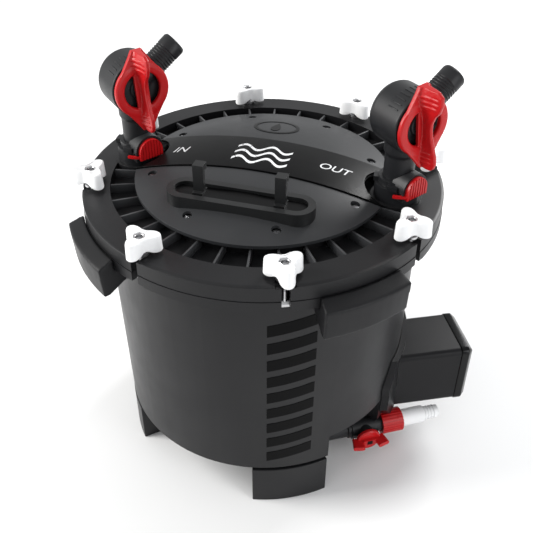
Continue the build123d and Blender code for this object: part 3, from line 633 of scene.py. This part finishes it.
WAVE_LONG, WAVE_HIGH, WAVE_APART, WAVE_EDGE, WAVE_Y = 0.052, 0.0045, 0.011, 0.0018, -0.003
WAVE_STEPS = 40
for row in range(3):
    points = []
    for edge in (-1, 1):
        for i in range(WAVE_STEPS + 1):
            x = (i / WAVE_STEPS - 0.5) * WAVE_LONG
            crest = WAVE_HIGH * sin(4 * pi * i / WAVE_STEPS)
            points.append((x, crest + WAVE_APART * (row - 1) + WAVE_Y + edge * WAVE_EDGE, 0))
    faces = [(i, i + 1, WAVE_STEPS + 2 + i, WAVE_STEPS + 1 + i) for i in range(WAVE_STEPS)]
    wave = bpy.data.meshes.new("wave")
    wave.from_pydata(points, [], faces)
    build = bmesh.new()
    build.from_mesh(wave)
    bmesh.ops.solidify(build, geom=build.faces[:], thickness=PRINT_FULL)
    build.to_mesh(wave)
    build.free()
    laid_on_dome(f"print_wave_{row + 1}", wave)

# ---------------------------------------------------------------------------------------------
# The hose clips: a racetrack collar on the cover with a well whose floor is painted near-black as
# shade, and two hooks standing in it that hold the hoses together.
# ---------------------------------------------------------------------------------------------
clip_black = moulded("clip_black", (0.012, 0.0125, 0.013), (0.32, 0.44), dust=0.04)
clips = eased("hose_clips_eased", "hose_clips", clip_black, 0.0008)
belongs(clips, "lid", "valve", "hose_clips")
WELL_LENGTH, WELL_WIDTH, WELL_LIFT = 0.1178, 0.0198, 0.0009
CLIP_X, CLIP_Y, CLIP_FLOOR = 0.0005, -0.0705, 0.3116
WELL_STRAIGHT = (WELL_LENGTH - WELL_WIDTH) / 2
WELL_SIDES = 96


def well_ring(inset, lift):
    """A racetrack laid on the dome, this far in from the well's edge."""
    ring, radius = [], WELL_WIDTH / 2 - inset
    for i in range(WELL_SIDES):
        a = 2 * pi * i / WELL_SIDES
        x = CLIP_X + radius * cos(a) + WELL_STRAIGHT * max(-1, min(1, 1.6 * cos(a)))
        y = CLIP_Y + radius * sin(a)
        ring.append((axis_x + x, y, max(dome_z(x, y), CLIP_FLOOR) + lift))
    return ring


# Painted shade: a near-black sheet laid just over the clip's floor, darker than the clip's own plastic,
# paints the shade in the well.
well = lofted(
    [well_ring(0.0, -0.0005)] + [well_ring(inset, WELL_LIFT) for inset in (0.0, 0.003, 0.006, 0.0085, 0.0097)]
)
belongs(placed("clip_well_floor", well, band_black), "lid", "valve")

# ---------------------------------------------------------------------------------------------
# The knobs: white hand knobs with three rounded lobes and hollow flanks, a steel nut moulded
# into a hexagonal well, and arches cut under the flanks so that the fingers get a hold.
# ---------------------------------------------------------------------------------------------
KNOB_TIP, KNOB_WAIST = 0.0175, 0.0092
KNOB_HIGH = 0.0155
LOBE_AZ = (30, 77, 7, 100, 81, 22, 57, -4)
ARCH_HIGH = 0.0034
NUT_R, WELL_R, BOLT_HOLE_R = 0.0050, 0.0054, 0.0032
NUT_SUNK = 0.0014
KNOB_SIDES, NUT_SIDES = 96, 48

knob_white = moulded("knob_white", (0.88, 0.885, 0.89), (0.3, 0.4), dust=0.0, relief=0.03)
steel = bare_metal(moulded("fastener_steel", (0.56, 0.56, 0.57), (0.24, 0.34), dust=0.0))


def hex_reach(angle, radius):
    """Distance from the middle to a hexagon's side along an angle."""
    return radius * cos(pi / 6) / cos((angle + pi / 6) % (pi / 3) - pi / 6)


def lobe_share(angle):
    """1 at a lobe's tip and 0 midway between two lobes."""
    return 0.5 + 0.5 * cos(3 * angle)


def knob_mesh(turn, place):
    """A three-lobed knob with a hexagonal well in its top, standing on a place."""
    low, top = place.z, place.z + KNOB_HIGH
    # (how far in from the lobed outline, height, how much the arch lifts it)
    skirt = ((0.0016, low + 0.0003, 1.0), (0.0003, low + 0.0003, 1.0), (-0.0002, low + 0.0010, 1.0),
             (0.0, low + 0.0050, 0.4), (0.0002, low + 0.0095, 0.0), (0.0004, top - 0.0018, 0.0),
             (0.0008, top - 0.0007, 0.0), (0.0017, top - 0.0001, 0.0), (0.0030, top - 0.0001, 0.0))
    angles = [2 * pi * i / KNOB_SIDES for i in range(KNOB_SIDES)]

    def ring(reach, height):
        return [
            (place.x + reach(a) * cos(a + turn), place.y + reach(a) * sin(a + turn), height(a))
            for a in angles
        ]

    def outline(a):
        return KNOB_WAIST + (KNOB_TIP - KNOB_WAIST) * lobe_share(a) ** 1.5

    def arch(a):
        return ARCH_HIGH * (1 - lobe_share(a)) ** 1.5

    rings = [ring(lambda a: BOLT_HOLE_R, lambda a: low + ARCH_HIGH)]
    rings += [
        ring(lambda a, d=inset: outline(a) - d, lambda a, z=z, k=lift: z + k * arch(a))
        for inset, z, lift in skirt
    ]
    rings.append(ring(lambda a: 0.5 * outline(a) + 0.0034, lambda a: top - 0.0004))
    for reach, z in ((WELL_R + 0.0005, top - 0.0006), (WELL_R, top - 0.0011), (WELL_R, top - 0.0045)):
        rings.append(ring(lambda a, r=reach: hex_reach(a, r), lambda a, z=z: z))
    rings.append(ring(lambda a: BOLT_HOLE_R, lambda a: top - 0.0045))
    return lofted(rings, loop=True)


def nut_mesh(turn, place):
    """The hexagonal nut in a knob's well."""
    top = place.z + KNOB_HIGH - NUT_SUNK
    rings = []
    # (radius, height, whether the ring is six-sided)
    for radius, z, six in (
        (BOLT_HOLE_R, top - 0.0023, False), (NUT_R, top - 0.0023, True), (NUT_R, top - 0.0005, True),
        (NUT_R - 0.0006, top, True), (BOLT_HOLE_R + 0.0004, top, False), (BOLT_HOLE_R, top - 0.0004, False),
    ):
        ring = []
        for i in range(NUT_SIDES):
            a = 2 * pi * i / NUT_SIDES
            reach = hex_reach(a, radius) if six else radius
            ring.append((place.x + reach * cos(a + turn), place.y + reach * sin(a + turn), z))
        rings.append(ring)
    return lofted(rings, loop=True)


# ---------------------------------------------------------------------------------------------
# The swing bolts: stainless, threaded down to the lid's rim, on a round cross head that turns
# under the flange. Each swings outwards through its slot once its knob is loose.
# ---------------------------------------------------------------------------------------------
BOLT_CIRCLE = 0.156
BOLT_R, SHANK_R, THREAD_ROOT_R = 0.00265, 0.0023, 0.0020
BOLT_ABOVE_KNOB_FOOT = 0.0118
THREAD_PITCH, THREAD_LOW, THREAD_COUNTED_FROM = 0.0009, 0.2842, 0.284
PIVOT_Z = 0.271
HEAD_R, HEAD_LENGTH, HEAD_EASE = 0.0037, 0.018, 0.0008

thread = lathed((
    (THREAD_ROOT_R, -0.00042), (BOLT_R, -0.00008), (BOLT_R, 0.00008), (THREAD_ROOT_R, 0.00042),
), 20, loop=True)
for n, lobe_az in enumerate(LOBE_AZ, 1):
    azimuth = FIRST_FASTENER + FASTENER_STEP * (n - 1)
    stand = Vector((
        axis_x + BOLT_CIRCLE * cos(azimuth), BOLT_CIRCLE * sin(azimuth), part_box(f"knob_{n}")[0].z
    ))
    knob = placed(f"hand_knob_{n}", knob_mesh(radians(lobe_az), stand), knob_white)
    belongs(knob, f"knob_{n}", "knob", f"knob_{n}")
    belongs(placed(f"knob_nut_{n}", nut_mesh(radians(lobe_az), stand), steel), f"knob_{n}", "steel")
    bolt_top = stand.z + BOLT_ABOVE_KNOB_FOOT
    shank = lathed((
        (AXIS_R, PIVOT_Z), (SHANK_R, PIVOT_Z), (SHANK_R, bolt_top - 0.0005),
        (SHANK_R - 0.0005, bolt_top), (AXIS_R, bolt_top),
    ), 24)
    shank.transform(Matrix.Translation((stand.x, stand.y, 0)))
    end = HEAD_LENGTH / 2
    head = lathed((
        (AXIS_R, -end), (HEAD_R - HEAD_EASE, -end), (HEAD_R, -end + HEAD_EASE),
        (HEAD_R, end - HEAD_EASE), (HEAD_R - HEAD_EASE, end), (AXIS_R, end),
    ), 32)
    head.transform(
        Matrix.Translation((stand.x, stand.y, PIVOT_Z))
        @ Matrix.Rotation(azimuth, 4, "Z")
        @ Matrix.Rotation(pi / 2, 4, "X")
    )
    build = bmesh.new()
    build.from_mesh(shank)
    build.from_mesh(head)
    build.to_mesh(shank)
    build.free()
    belongs(placed(f"swing_bolt_{n}_steel", shank, steel), f"bolt_{n}", "steel", f"swing_bolt_{n}")
    threads = grown(f"bolt_thread_{n}", row_of_pieces, thread.copy(), steel, {
        "Count": int((bolt_top - THREAD_COUNTED_FROM) / THREAD_PITCH),
        "Start": (stand.x, stand.y, THREAD_LOW), "Step": (0, 0, THREAD_PITCH), "Turn": (0, 0, 0),
    })
    belongs(threads, f"bolt_{n}", "steel")
    dress(steel, f"washer_{n}")

# ---------------------------------------------------------------------------------------------
# The two hose valves. Each is one dark grey moulding: a neck that pushes into the lid's port,
# a drum round the ball, and a ribbed nozzle that rises out of the drum's side.
# ---------------------------------------------------------------------------------------------
VALVE_PLACES = (("inlet", -0.1235), ("outlet", 0.1235))
DRUM_Z = 0.3725
VALVE_AZ = radians(-42)
VALVE_OUT = Vector((cos(VALVE_AZ), sin(VALVE_AZ), 0))
VALVE_ACROSS = Vector((-sin(VALVE_AZ), cos(VALVE_AZ), 0))
DRUM_R, DRUM_BACK, DRUM_FRONT = 0.0265, -0.0185, 0.019
NECK_R = 0.0135
NOZZLE_RISE = radians(36)
NOZZLE_SHIFT, NOZZLE_LENGTH = 0.008, 0.052
NOZZLE_CORE, NOZZLE_R, NOZZLE_BORE = 0.0103, 0.0111, 0.008
RIDGE_COUNT, RIDGE_START, RIDGE_PITCH = 9, 0.0185, 0.0026
CROWN_COUNT, CROWN_FIRST, CROWN_STEP = 8, radians(70), radians(10.5)
VOXEL = 0.0007

valve_grey = moulded("valve_grey", (0.012, 0.0125, 0.014), (0.32, 0.44), dust=0.05, relief=0.08)


def upright_to(place, way, across):
    """Turns a shape made along +Z at the origin so that +Z runs along a way and +X across it."""
    third = way.cross(across)
    turn = Matrix((across, third, way)).transposed().to_4x4()
    return Matrix.Translation(place) @ turn


def shifted(mesh, matrix):
    """A mesh moved by a matrix."""
    mesh.transform(matrix)
    return mesh


for side, x in VALVE_PLACES:
    middle = Vector((axis_x + x, 0, DRUM_Z))
    rise = VALVE_ACROSS * cos(NOZZLE_RISE) + Vector((0, 0, 1)) * sin(NOZZLE_RISE)
    drum_frame = upright_to(middle, VALVE_OUT, VALVE_ACROSS)
    nozzle_start = middle + VALVE_OUT * NOZZLE_SHIFT
    nozzle_frame = upright_to(nozzle_start, rise, VALVE_OUT)
    drum = lathed((
        (AXIS_R, DRUM_BACK), (DRUM_R - 0.0055, DRUM_BACK), (DRUM_R - 0.0018, DRUM_BACK + 0.0018),
        (DRUM_R, DRUM_BACK + 0.0055), (DRUM_R, DRUM_FRONT - 0.0006), (DRUM_R - 0.0006, DRUM_FRONT),
        (DRUM_R - 0.0022, DRUM_FRONT), (DRUM_R - 0.0026, DRUM_FRONT - 0.0024),
        (0.0095, DRUM_FRONT - 0.0024), (0.009, DRUM_FRONT), (AXIS_R, DRUM_FRONT),
    ), 96)
    neck = lathed((
        (NECK_R - 0.0045, 0.300), (NECK_R, 0.300), (NECK_R, 0.338), (NECK_R + 0.0016, 0.341),
        (NECK_R + 0.0016, 0.3585), (NECK_R - 0.0045, 0.3585),
    ), 64, loop=True)
    root = lathed(((AXIS_R, 0.0), (NOZZLE_CORE, 0.0), (NOZZLE_CORE, 0.034), (AXIS_R, 0.034)), 48)
    # a small lug that stops the handle
    stop = block((0.003, DRUM_R - 0.002, 0.010), (0.009, DRUM_R + 0.0025, 0.0185), 0.0005)
    body = cast(f"{side}_valve_moulding", (
        shifted(drum, drum_frame), shifted(stop, drum_frame),
        shifted(neck, Matrix.Translation((middle.x, 0, 0))), shifted(root, nozzle_frame),
    ), valve_grey, VOXEL, 4)
    belongs(body, f"{side}_valve", "valve", f"{side}_valve_body")
    tip = shifted(lathed((
        (NOZZLE_BORE, 0.030), (NOZZLE_CORE + 0.0002, 0.030),
        (NOZZLE_CORE + 0.0002, 0.0405), (NOZZLE_R, 0.0412),
        (NOZZLE_R, NOZZLE_LENGTH - 0.0025), (NOZZLE_R - 0.0004, NOZZLE_LENGTH - 0.0012),
        (NOZZLE_R - 0.0013, NOZZLE_LENGTH), (NOZZLE_BORE + 0.0004, NOZZLE_LENGTH),
        (NOZZLE_BORE, NOZZLE_LENGTH - 0.0005),
    ), 64, loop=True), nozzle_frame)
    belongs(placed(f"{side}_nozzle_tip", tip, valve_grey), f"{side}_valve", "valve")
    barb = lathed((
        (NOZZLE_CORE - 0.0004, -0.0010), (NOZZLE_R - 0.0001, -0.0008), (NOZZLE_R + 0.0001, -0.0004),
        (NOZZLE_CORE + 0.0002, 0.0012), (NOZZLE_CORE - 0.0004, 0.0012),
    ), 56, loop=True)
    barbs = grown(f"{side}_nozzle_ridges", row_of_pieces, barb, valve_grey, {
        "Count": RIDGE_COUNT, "Start": nozzle_start + rise * RIDGE_START, "Step": rise * RIDGE_PITCH,
        "Turn": nozzle_frame.to_euler(),
    })
    belongs(barbs, f"{side}_valve", "valve")
    # short gripping ridges over the drum's crown, beside the handle
    ridge = block((DRUM_R - 0.0006, -0.0006, 0.002), (DRUM_R + 0.0006, 0.0006, 0.0135), 0.0004)
    crown = grown(f"{side}_drum_ridges", ring_of_pieces, ridge, valve_grey, {
        "Count": CROWN_COUNT, "Radius": 0.0, "First Angle": CROWN_FIRST, "Step Angle": CROWN_STEP,
        "Centre": (0, 0, 0),
    })
    crown.data.transform(drum_frame)
    belongs(crown, f"{side}_valve", "valve")

# ---------------------------------------------------------------------------------------------
# The valve handles: glossy red quarter-turn rings with two windows, a tall thin fin across
# them for the fingers, and three grip ridges on each side of both its ends.
# ---------------------------------------------------------------------------------------------
RING_OUT, RING_IN = 0.0255, 0.017
RING_LOW, RING_HIGH = 0.0203, 0.0248
BAR_HALF, BAR_REACH = 0.0062, 0.019
EAR = ((0.0178, 0.0175), (0.0118, 0.0262), (0.0066, 0.0345), (0.0048, 0.0378))
HANDLE_LEAN = {"inlet": radians(3), "outlet": radians(8)}
FIN = ((-0.0378, 0.0130), (-0.0350, 0.0160), (-0.0300, 0.0180), (-0.0230, 0.0175), (-0.0150, 0.0152),
       (-0.0070, 0.0132), (0.0000, 0.0126), (0.0070, 0.0134), (0.0140, 0.0168), (0.0200, 0.0218),
       (0.0270, 0.0246), (0.0345, 0.0250), (0.0378, 0.0200))
FIN_ROOT, FIN_EAR_ROOT, FIN_EDGE = 0.0062, 0.0150, 0.0034
GRIP_FIRST, GRIP_APART, GRIP_PROUD, GRIP_HALF, GRIP_SHORT = 0.0220, 0.0044, 0.0009, 0.0009, 0.0028
HANDLE_VOXEL = 0.00048

tap_red = moulded("tap_red", (0.46, 0.008, 0.010), (0.26, 0.36),
                  dust=0.0, grain=900.0, relief=0.03, coat=0.1)


def prism(outline, low, high):
    """A flat plate from its outline, anticlockwise."""
    return lofted([[(px, py, low) for px, py in outline], [(px, py, high) for px, py in outline]])


def fin_height(y):
    """The fin's height at a place along it."""
    for (y_low, low), (y_high, high) in zip(FIN, FIN[1:]):
        if y <= y_high:
            return low + (high - low) * max(0, y - y_low) / (y_high - y_low)
    return FIN[-1][1]


def fin_section(y, proud=0.0, short=0.0):
    """The fin's cross-section: thin and upright at its waist, a broad wedge at its ends."""
    high = fin_height(y) - short
    spread = FIN_ROOT + (FIN_EAR_ROOT - FIN_ROOT) * min(1, max(0, (abs(y) - 0.010) / 0.012))
    spread -= 0.006 * max(0, (abs(y) - 0.031) / 0.007)
    half = (
        (spread / 2 + proud, 0.001), (spread * 0.3 + proud, 0.3 * high),
        (FIN_EDGE / 2 + 0.0008 + proud, 0.65 * high), (FIN_EDGE / 2 + proud, high - 0.0008),
        (FIN_EDGE / 4 + proud / 2, high),
    )
    left = [(-px, y, RING_LOW + pz) for px, pz in half]
    return left + [(px, y, RING_LOW + pz) for px, pz in reversed(half)]


def handle_meshes():
    """The handle's overlapping parts, with the fin along +Y and the drum's axis along +Z."""
    parts = [lathed((
        (RING_IN, RING_LOW), (RING_OUT, RING_LOW), (RING_OUT, RING_HIGH - 0.0016),
        (RING_OUT - 0.0012, RING_HIGH - 0.0002), (RING_OUT - 0.0035, RING_HIGH),
        (RING_IN + 0.0012, RING_HIGH - 0.0002), (RING_IN, RING_HIGH - 0.0012),
    ), 96, loop=True)]
    bar = [(x * BAR_HALF, y * BAR_REACH) for x, y in ((-1, -1), (1, -1), (1, 1), (-1, 1))]
    parts.append(prism(bar, RING_LOW, RING_HIGH - 0.001))
    for end in (-1, 1):
        ear = [(px, end * py) for px, py in EAR] + [(-px, end * py) for px, py in reversed(EAR)]
        parts.append(prism(ear if end > 0 else ear[::-1], RING_LOW, RING_HIGH - 0.0004))
    parts.append(lofted([fin_section(y) for y, _ in FIN]))
    for end in (-1, 1):
        for step in range(3):
            y = end * (GRIP_FIRST + GRIP_APART * step)
            grip = [fin_section(y + end * half, GRIP_PROUD, GRIP_SHORT) for half in (-GRIP_HALF, GRIP_HALF)]
            parts.append(lofted(grip if end > 0 else grip[::-1]))
    return parts


for side, x in VALVE_PLACES:
    handle_frame = upright_to(Vector((axis_x + x, 0, DRUM_Z)), VALVE_OUT, VALVE_ACROSS)
    handle_frame = handle_frame @ Matrix.Rotation(HANDLE_LEAN[side], 4, "Z")
    parts = [shifted(part, handle_frame) for part in handle_meshes()]
    handle = cast(f"{side}_handle_red", parts, tap_red, HANDLE_VOXEL, 4)
    belongs(handle, f"{side}_handle", "red", f"{side}_valve_handle")

# ---------------------------------------------------------------------------------------------
# The collars and latches: a dark socket on the lid under each valve, and a ribbed red button
# that frees the valve.
# ---------------------------------------------------------------------------------------------
for side, _ in VALVE_PLACES:
    collar = eased(f"{side}_collar", f"{side}_valve_collar", valve_grey, 0.0007)
    belongs(collar, "lid", "valve", f"{side}_valve_collar")
    latch = eased(f"{side}_latch_red", f"{side}_latch_button", tap_red, 0.0004)
    belongs(latch, f"{side}_latch", "red", f"{side}_latch_button")

# ---------------------------------------------------------------------------------------------
# The motor: a satin square case on a saddle that hugs the barrel, and a polished end cap.
# ---------------------------------------------------------------------------------------------
motor_black = moulded("motor_black", (0.006, 0.006, 0.007), (0.3, 0.4), dust=0.0, specular=0.17)
cap_black = moulded("cap_black", (0.002, 0.002, 0.0024), (0.1, 0.16),
                    dust=0.0, grain=300.0, relief=0.01, specular=0.2)
motor_case = eased("motor_case", "motor_housing", motor_black, 0.0012)
# The saddle's lower part is drawn in round the barrel on its drain side, clear of the drain.
SADDLE_R, SADDLE_FROM_AZ, SADDLE_SHARE = 0.1528, radians(-10), 0.5
SADDLE_HIGH, SADDLE_MIDDLE = 0.0988, 0.0848
for vert in motor_case.data.vertices:
    arm = Vector((vert.co.x - axis_x, vert.co.y))
    azimuth = atan2(arm.y, arm.x)
    lower = min(1, max(0, (SADDLE_HIGH - vert.co.z) / (SADDLE_HIGH - SADDLE_MIDDLE)))
    if arm.length < SADDLE_R and azimuth < SADDLE_FROM_AZ:
        drawn = azimuth - (azimuth - SADDLE_FROM_AZ) * (1 - SADDLE_SHARE) * lower
        vert.co.x, vert.co.y = axis_x + arm.length * cos(drawn), arm.length * sin(drawn)
belongs(motor_case, "canister", "motor", "motor_housing")
belongs(eased("motor_cap", "motor_end_cap", cap_black, 0.0008), "canister", "motor_cap", "motor_end_cap")

# ---------------------------------------------------------------------------------------------
# The drain: a dark pipe and valve under the skirt, a red tap with a round cap and a slot in
# its middle painted as a dark patch of shade, a red lock nut and a white spigot with a ridged hose tip.
# ---------------------------------------------------------------------------------------------
DRAIN_AZ = radians(31)
TAP_FROM, TAP_BACK = Vector((0.148, -0.028, 0.0335)), 0.031
TAP_CAP_R, TAP_CAP_LOW, TAP_CAP_HIGH, TAP_CAP_EASE = 0.0128, 0.0164, 0.0202, 0.001

drain_white = moulded("drain_white", (0.88, 0.885, 0.89), (0.3, 0.4), dust=0.0)
belongs(eased("drain_elbow", "drain_pipe", valve_grey, 0.0006), "canister", "valve", "drain_pipe")
belongs(eased("drain_valve", "drain_valve_body", valve_grey, 0.0006), "canister", "valve", "drain_valve_body")
belongs(eased("drain_tap", "drain_handle", tap_red, 0.0008), "drain_handle", "red", "drain_handle")
drain_way = Vector((cos(DRAIN_AZ), sin(DRAIN_AZ), 0))
tap_way = Vector((sin(DRAIN_AZ), -cos(DRAIN_AZ), 0))
tap_frame = upright_to(tub_axis + TAP_FROM - drain_way * TAP_BACK, tap_way, drain_way)
tap_cap = shifted(lathed((
    (AXIS_R, TAP_CAP_LOW), (TAP_CAP_R, TAP_CAP_LOW), (TAP_CAP_R, TAP_CAP_HIGH - TAP_CAP_EASE),
    (TAP_CAP_R - TAP_CAP_EASE, TAP_CAP_HIGH), (AXIS_R, TAP_CAP_HIGH),
), 64), tap_frame)
belongs(placed("drain_tap_cap", tap_cap, tap_red), "drain_handle", "red")
# Painted shade: a thin near-black block on the tap stands for the shade in the slot at its middle.
tap_slot_shade = shifted(block((-0.0028, -0.0024, 0.0225), (0.0028, 0.0024, 0.0236)), tap_frame)
belongs(placed("drain_tap_hole", tap_slot_shade, band_black), "drain_handle", "red")
belongs(eased("drain_nut", "drain_lock_nut", tap_red, 0.0004), "drain_lock_nut", "red", "drain_lock_nut")
belongs(eased("drain_spout", "drain_nozzle", drain_white, 0.0005), "canister", "drain_white", "drain_nozzle")

# ---------------------------------------------------------------------------------------------
# The inside: two slotted media baskets with a foam pad in each, the ring seal, the elbow balls
# of the valves, and the wet-rotor pump.
# ---------------------------------------------------------------------------------------------
FOAM_R, FOAM_HIGH = 0.131, 0.0415
basket_grey = moulded("basket_grey", (0.06, 0.062, 0.066), (0.38, 0.5), dust=0.0)
seal_rubber = moulded("seal_rubber", (0.012, 0.012, 0.012), (0.5, 0.62), dust=0.02, grain=2400.0)
ball_white = moulded("ball_white", (0.7, 0.7, 0.68), (0.2, 0.3), dust=0.0)
impeller_blue = moulded("impeller_blue", (0.05, 0.12, 0.3), (0.3, 0.4), dust=0.0)
magnet_dark = moulded("magnet_dark", (0.03, 0.03, 0.032), (0.3, 0.45), dust=0.0)
ceramic_white = moulded("ceramic_white", (0.82, 0.8, 0.76), (0.14, 0.22), dust=0.0)
copper = bare_metal(moulded("coil_copper", (0.62, 0.27, 0.12), (0.3, 0.42), dust=0.0))

foam_blue = moulded("foam_blue", (0.03, 0.06, 0.11), (0.85, 0.95), dust=0.0, grain=520.0, relief=0.9)
for level in ("lower", "upper"):
    basket = eased(f"{level}_media_basket", f"{level}_basket", basket_grey, 0.0006)
    belongs(basket, f"{level}_basket", "basket", f"{level}_basket")
    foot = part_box(f"{level}_foam")[0].z
    pad = lathed((
        (AXIS_R, foot), (FOAM_R - 0.006, foot), (FOAM_R - 0.0015, foot + 0.0015), (FOAM_R, foot + 0.006),
        (FOAM_R - 0.001, foot + FOAM_HIGH / 2), (FOAM_R, foot + FOAM_HIGH - 0.007),
        (FOAM_R - 0.002, foot + FOAM_HIGH - 0.002), (FOAM_R - 0.008, foot + FOAM_HIGH),
        (FOAM_R * 0.5, foot + FOAM_HIGH + 0.0004), (AXIS_R, foot + FOAM_HIGH + 0.0006),
    ), 96)
    pad.transform(Matrix.Translation(tub_axis))
    foam = belongs(placed(f"{level}_foam_pad", pad, foam_blue), f"{level}_basket", "foam", f"{level}_foam")
    foam.data.shade_smooth()
dress(seal_rubber, "lid_seal")
dress(ball_white, "inlet_valve_ball", "outlet_valve_ball")
dress(impeller_blue, "impeller")
dress(magnet_dark, "rotor_magnet")
dress(ceramic_white, "impeller_shaft")
dress(motor_black, "volute_cover", "cable_gland")
dress(copper, "stator")
